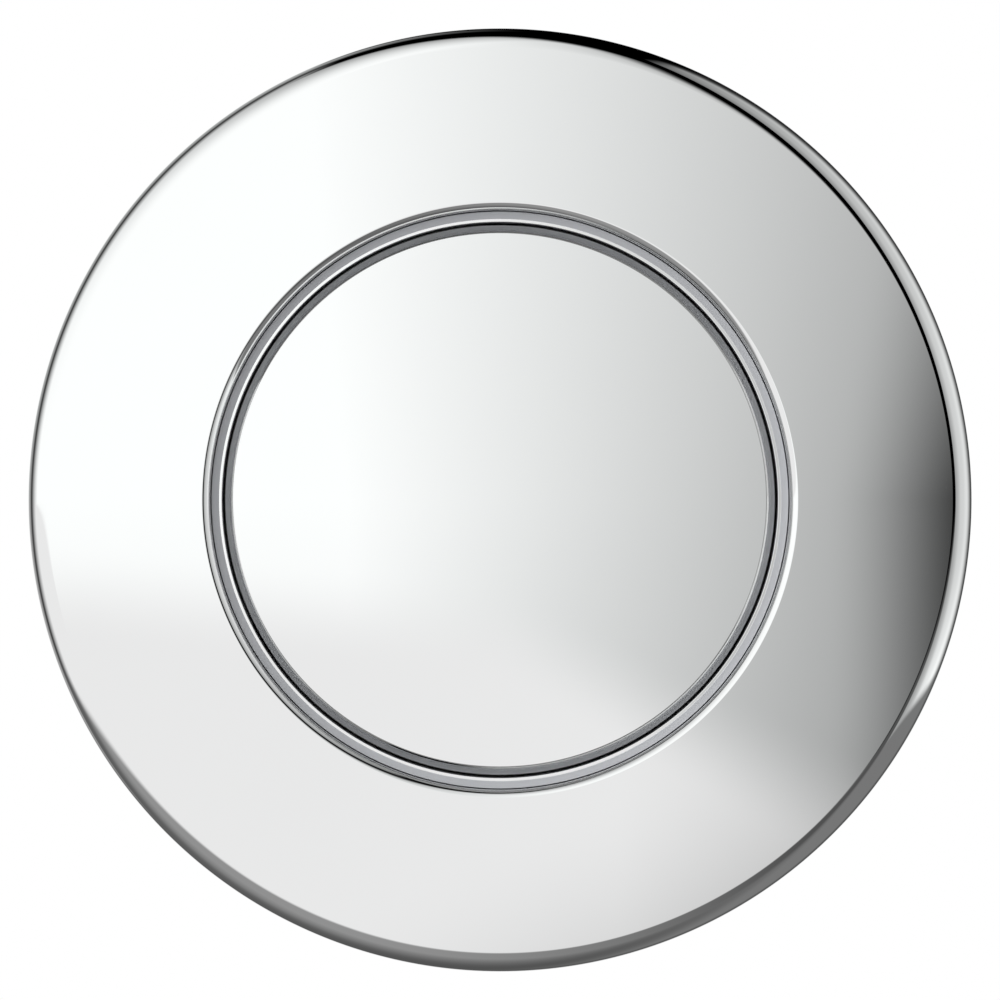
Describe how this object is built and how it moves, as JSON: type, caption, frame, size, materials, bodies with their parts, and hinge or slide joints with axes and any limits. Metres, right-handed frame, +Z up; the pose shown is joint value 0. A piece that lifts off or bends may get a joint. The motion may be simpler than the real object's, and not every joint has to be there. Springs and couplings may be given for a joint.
{
  "type": "flush plate",
  "caption": "Round wall-mounted flush plate with a polished rim, a satin trim ring and a large centre push button that presses an air bellows in a cup behind the wall.",
  "frame": {"origin": "on the plate's axis, in the plane of the finished wall", "axes": "+Y into the wall, so that the face looks along -Y; +Z up; +X right as seen from the front"},
  "size_m": [0.094, 0.0552, 0.094],
  "materials": {
    "chrome_polished": "polished",
    "chrome_satin": "satin",
    "plastic_light": "moulded",
    "plastic_grey": "moulded",
    "plastic_black": "moulded",
    "plastic_white": "moulded",
    "zinc_steel": "zinc plated",
    "spring_steel": "bright",
    "brass_turned": "turned",
    "rubber_black": "matt",
    "foam_grey": "closed cell foam"
  },
  "bodies": {
    "plate": {"cover_plate": "chrome_polished", "design_ring": "chrome_satin", "mounting_frame": "plastic_light", "pump_housing": "plastic_grey", "bellows_clamp_ring": "plastic_grey", "button_guide": "plastic_black", "guide_screws": "zinc_steel", "clamp_screws": "zinc_steel", "housing_screws": "zinc_steel", "wall_screws": "zinc_steel", "return_spring": "spring_steel", "spring_clips": "spring_steel", "hose_spigot": "brass_turned", "spigot_nut": "brass_turned", "stop_cushion": "rubber_black", "bellows": "rubber_black", "spigot_seal": "rubber_black", "wall_gasket": "foam_grey"},
    "button": {"push_button": "chrome_polished", "button_carrier": "plastic_white", "carrier_screws": "zinc_steel", "push_rod": "zinc_steel", "rod_locknut": "zinc_steel", "bellows_pusher": "plastic_white"}
  },
  "joints": [
    {"name": "button_press", "type": "slide", "parent": "plate", "child": "button", "axis": [0, 1, 0], "range_m": [0, 0.007], "stiffness_N_per_m": 900, "springref_m": -0.005, "deforming": ["bellows", "return_spring"]}
  ]
}
